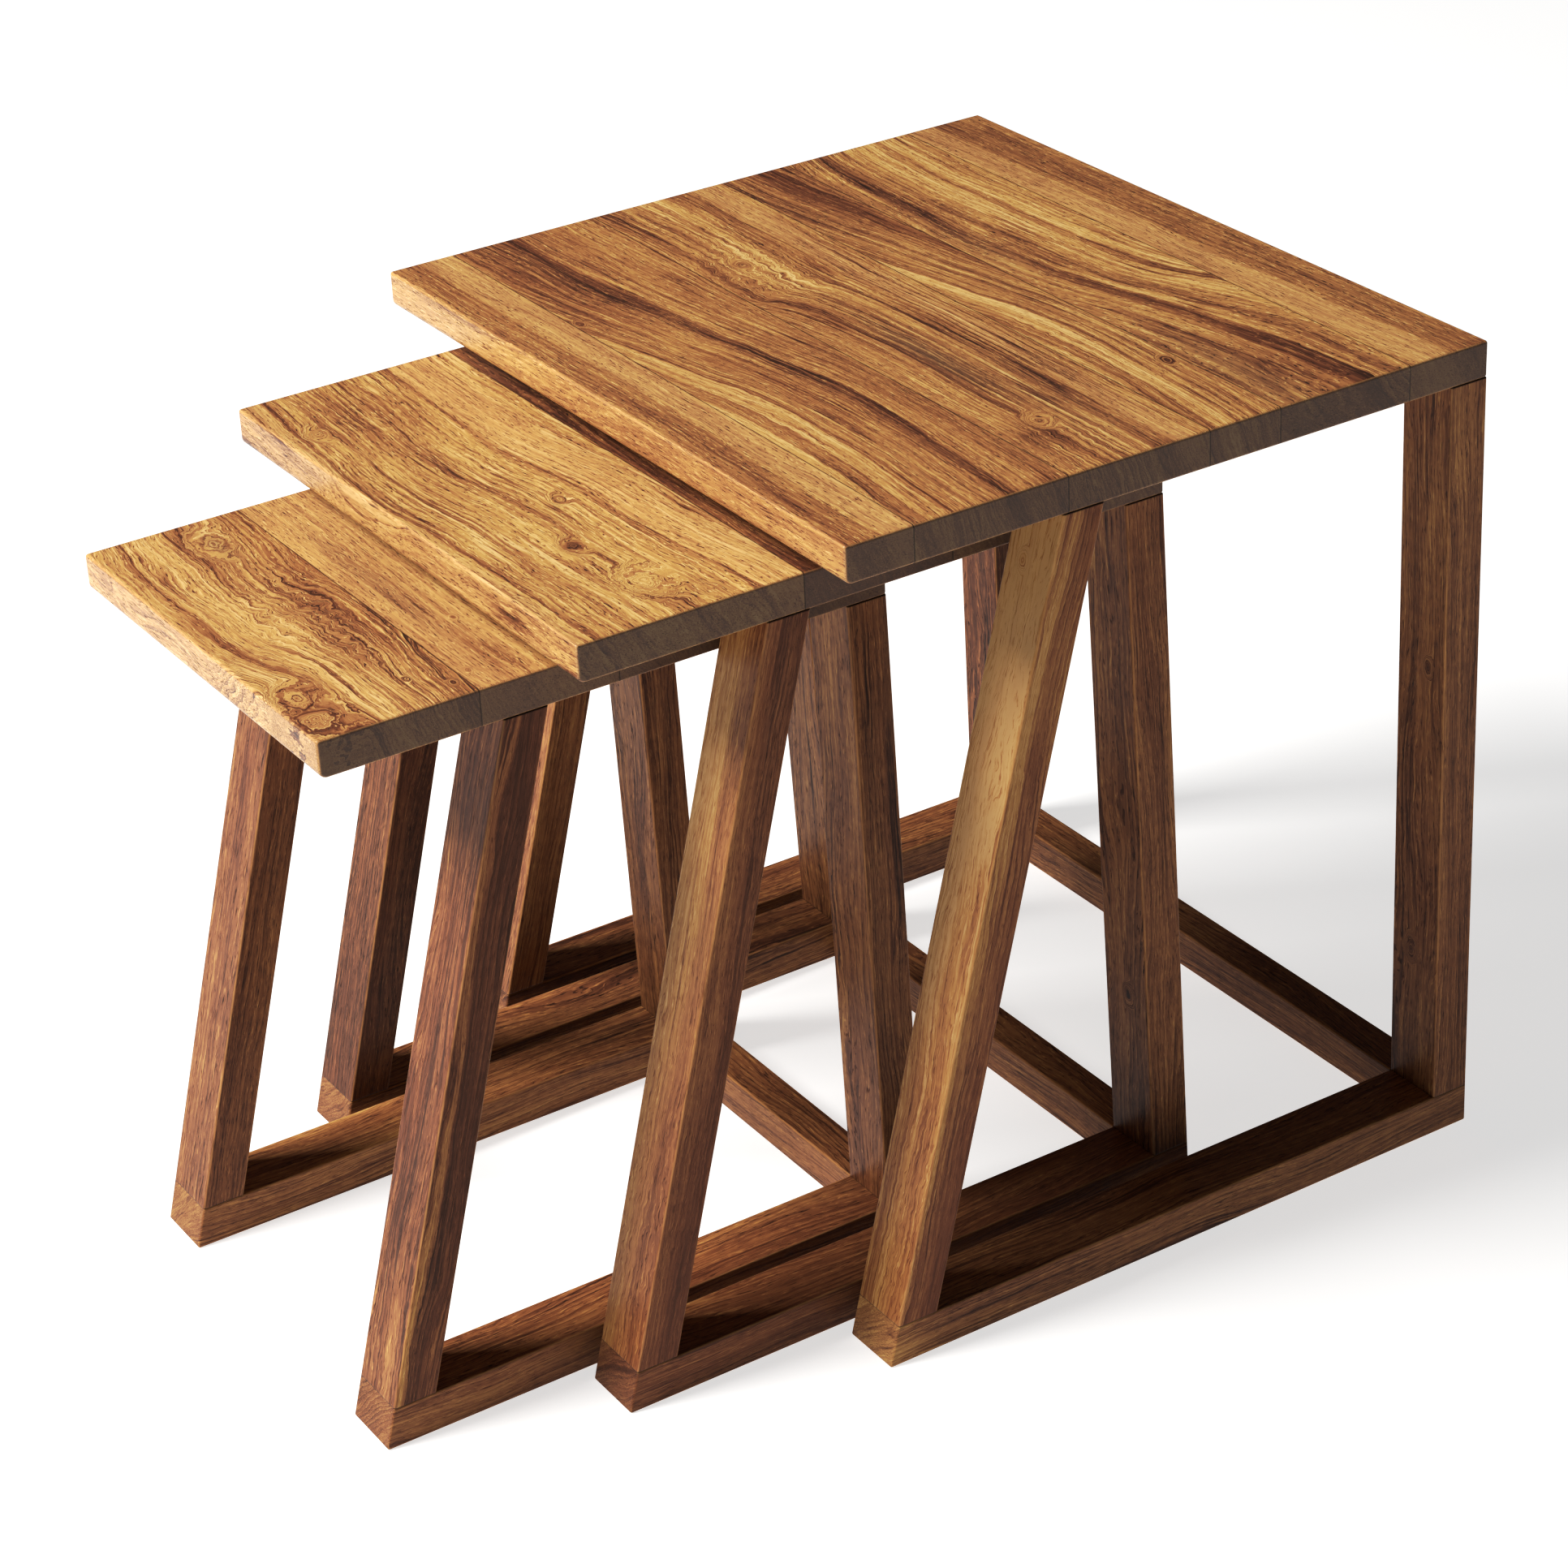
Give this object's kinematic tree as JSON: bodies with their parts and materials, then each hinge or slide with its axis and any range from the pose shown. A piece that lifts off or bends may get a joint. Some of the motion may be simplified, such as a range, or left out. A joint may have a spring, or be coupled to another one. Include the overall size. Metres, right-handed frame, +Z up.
{
  "type": "nesting tables",
  "caption": "Nesting side tables in solid wood: plank tops on open frames with slanted front legs, straight back legs and floor rails, each sliding under the next larger top.",
  "frame": {"origin": "on the floor, at the centre of the footprint of the whole set as it stands staggered at rest", "axes": "+Z up; +Y towards the backs of the tables, so the smaller tables are drawn out towards -Y; +X to the right seen from the front"},
  "size_m": [0.53, 0.7525, 0.56],
  "materials": {
    "large_top_board_1": "clear satin lacquer on sheesham",
    "large_top_board_2": "clear satin lacquer on sheesham",
    "large_top_board_3": "clear satin lacquer on sheesham",
    "large_top_board_4": "clear satin lacquer on sheesham",
    "large_top_board_5": "clear satin lacquer on sheesham",
    "large_top_board_6": "clear satin lacquer on sheesham",
    "large_front_leg_right": "clear satin lacquer on sheesham",
    "large_back_leg_right": "clear satin lacquer on sheesham",
    "large_rail_right": "clear satin lacquer on sheesham",
    "large_front_leg_left": "clear satin lacquer on sheesham",
    "large_back_leg_left": "clear satin lacquer on sheesham",
    "large_rail_left": "clear satin lacquer on sheesham",
    "large_stretcher": "clear satin lacquer on sheesham",
    "dowel_beech": "plain turned dowel",
    "middle_top_board_1": "clear satin lacquer on sheesham",
    "middle_top_board_2": "clear satin lacquer on sheesham",
    "middle_top_board_3": "clear satin lacquer on sheesham",
    "middle_top_board_4": "clear satin lacquer on sheesham",
    "middle_front_leg_right": "clear satin lacquer on sheesham",
    "middle_back_leg_right": "clear satin lacquer on sheesham",
    "middle_rail_right": "clear satin lacquer on sheesham",
    "middle_front_leg_left": "clear satin lacquer on sheesham",
    "middle_back_leg_left": "clear satin lacquer on sheesham",
    "middle_rail_left": "clear satin lacquer on sheesham",
    "middle_stretcher": "clear satin lacquer on sheesham",
    "small_top_board_1": "clear satin lacquer on sheesham",
    "small_top_board_2": "clear satin lacquer on sheesham",
    "small_top_board_3": "clear satin lacquer on sheesham",
    "small_top_board_4": "clear satin lacquer on sheesham",
    "small_front_leg_right": "clear satin lacquer on sheesham",
    "small_back_leg_right": "clear satin lacquer on sheesham",
    "small_rail_right": "clear satin lacquer on sheesham",
    "small_front_leg_left": "clear satin lacquer on sheesham",
    "small_back_leg_left": "clear satin lacquer on sheesham",
    "small_rail_left": "clear satin lacquer on sheesham",
    "small_stretcher": "clear satin lacquer on sheesham"
  },
  "bodies": {
    "large_table": {"large_top_board_1": "large_top_board_1", "large_top_board_2": "large_top_board_2", "large_top_board_3": "large_top_board_3", "large_top_board_4": "large_top_board_4", "large_top_board_5": "large_top_board_5", "large_top_board_6": "large_top_board_6", "large_front_leg_right": "large_front_leg_right", "large_back_leg_right": "large_back_leg_right", "large_rail_right": "large_rail_right", "large_front_leg_left": "large_front_leg_left", "large_back_leg_left": "large_back_leg_left", "large_rail_left": "large_rail_left", "large_stretcher": "large_stretcher", "large_top_dowels": "dowel_beech", "large_rail_dowels": "dowel_beech", "large_stretcher_dowels": "dowel_beech"},
    "middle_table": {"middle_top_board_1": "middle_top_board_1", "middle_top_board_2": "middle_top_board_2", "middle_top_board_3": "middle_top_board_3", "middle_top_board_4": "middle_top_board_4", "middle_front_leg_right": "middle_front_leg_right", "middle_back_leg_right": "middle_back_leg_right", "middle_rail_right": "middle_rail_right", "middle_front_leg_left": "middle_front_leg_left", "middle_back_leg_left": "middle_back_leg_left", "middle_rail_left": "middle_rail_left", "middle_stretcher": "middle_stretcher", "middle_top_dowels": "dowel_beech", "middle_rail_dowels": "dowel_beech", "middle_stretcher_dowels": "dowel_beech"},
    "small_table": {"small_top_board_1": "small_top_board_1", "small_top_board_2": "small_top_board_2", "small_top_board_3": "small_top_board_3", "small_top_board_4": "small_top_board_4", "small_front_leg_right": "small_front_leg_right", "small_back_leg_right": "small_back_leg_right", "small_rail_right": "small_rail_right", "small_front_leg_left": "small_front_leg_left", "small_back_leg_left": "small_back_leg_left", "small_rail_left": "small_rail_left", "small_stretcher": "small_stretcher", "small_top_dowels": "dowel_beech", "small_rail_dowels": "dowel_beech", "small_stretcher_dowels": "dowel_beech"}
  },
  "joints": [
    {"name": "middle_table_slide", "type": "slide", "parent": "large_table", "child": "middle_table", "axis": [0, -1, 0], "range_m": [-0.1567, 0.285]},
    {"name": "small_table_slide", "type": "slide", "parent": "middle_table", "child": "small_table", "axis": [0, -1, 0], "range_m": [-0.1389, 0.267]}
  ]
}
